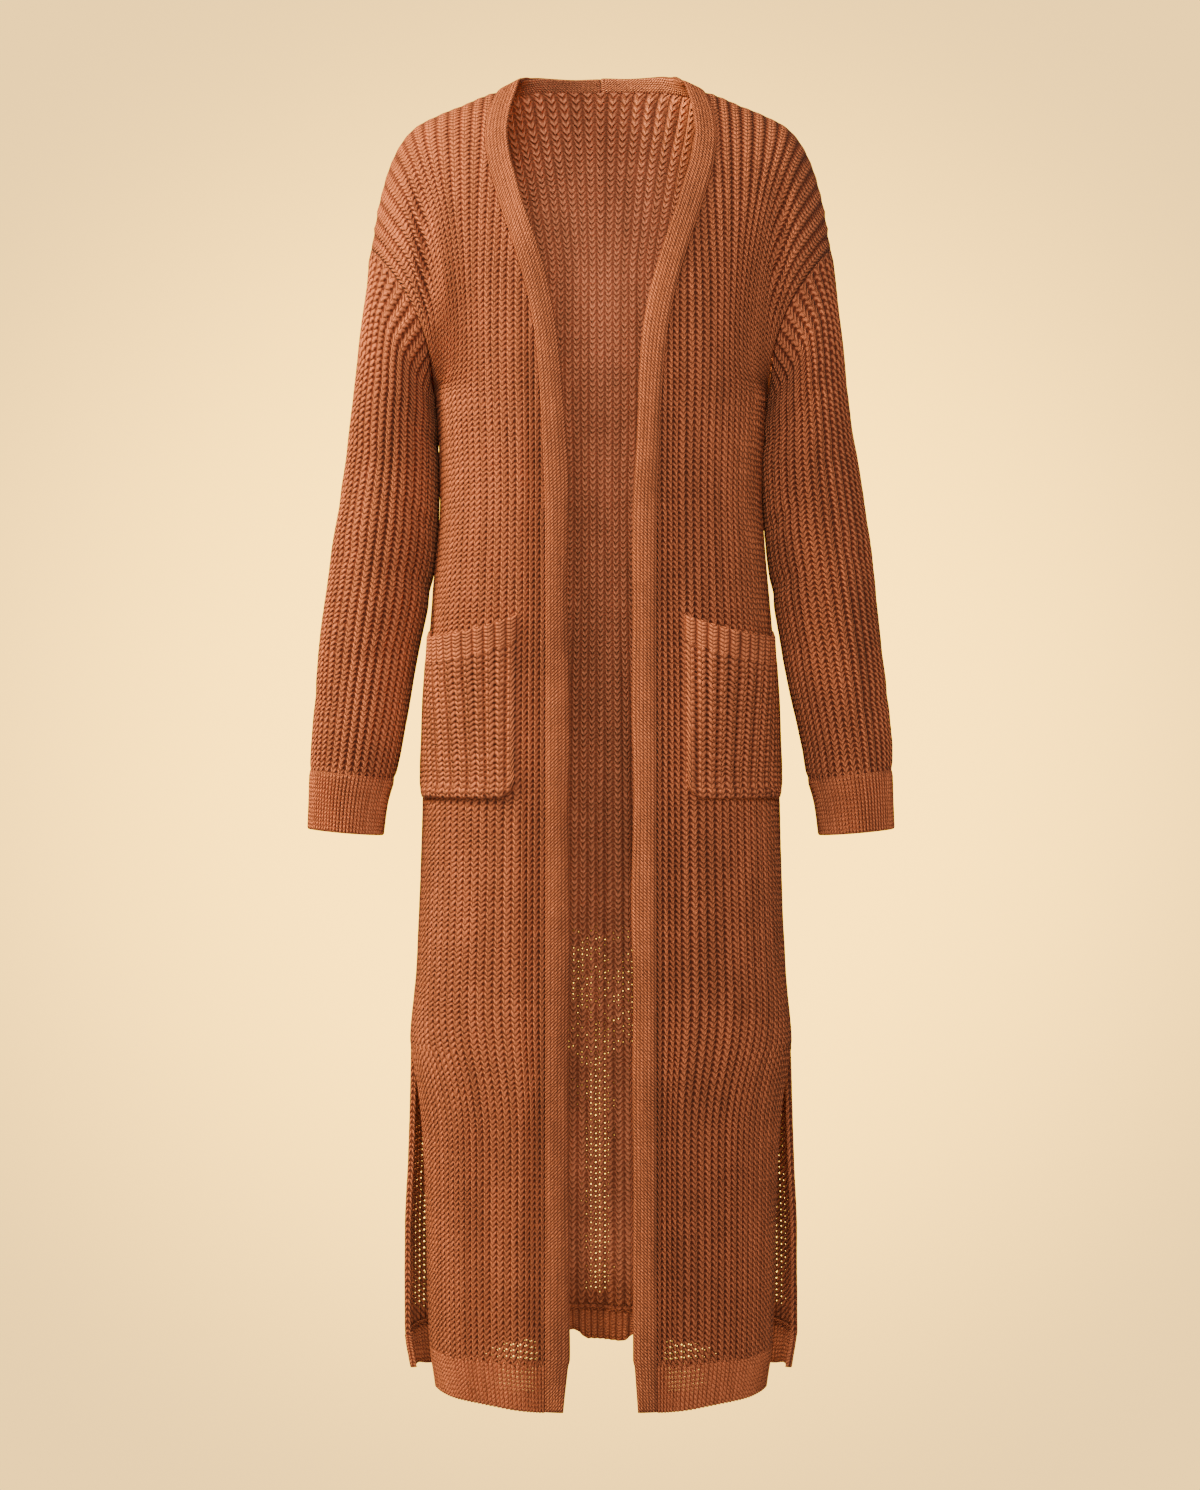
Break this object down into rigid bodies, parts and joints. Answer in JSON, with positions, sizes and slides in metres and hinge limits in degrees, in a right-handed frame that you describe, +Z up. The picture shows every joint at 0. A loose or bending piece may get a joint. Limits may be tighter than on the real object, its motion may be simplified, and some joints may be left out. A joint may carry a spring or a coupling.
{
  "type": "open-front cardigan",
  "caption": "Long open-front rib-knit cardigan, worn and hollow, with dropped shoulders, sleeves, patch pockets, a neck band and side slits.",
  "frame": {"origin": "midway between the two high shoulder points, where the neck band meets the shoulders", "axes": "+X to the wearer's left, -Y out of the wearer's front, +Z up along the spine"},
  "size_m": [0.5228, 0.2532, 1.1841],
  "materials": {
    "rust_rib_knit": "chunky half-cardigan rib in wool-like yarn, matt and slightly fuzzy",
    "rust_dense_knit": "finer, denser rib of the band, cuffs, hems and pocket tops, matt"
  },
  "bodies": {
    "root": {"back_panel": "rust_rib_knit", "back_hem_rib": "rust_dense_knit", "front_panel_left": "rust_rib_knit", "front_panel_right": "rust_rib_knit", "front_hem_rib_left": "rust_dense_knit", "front_hem_rib_right": "rust_dense_knit", "sleeve_left": "rust_rib_knit", "sleeve_right": "rust_rib_knit", "cuff_left": "rust_dense_knit", "cuff_right": "rust_dense_knit", "neck_band_left": "rust_dense_knit", "neck_band_right": "rust_dense_knit", "pocket_left": "rust_rib_knit", "pocket_right": "rust_rib_knit", "pocket_rib_left": "rust_dense_knit", "pocket_rib_right": "rust_dense_knit"}
  },
  "joints": []
}
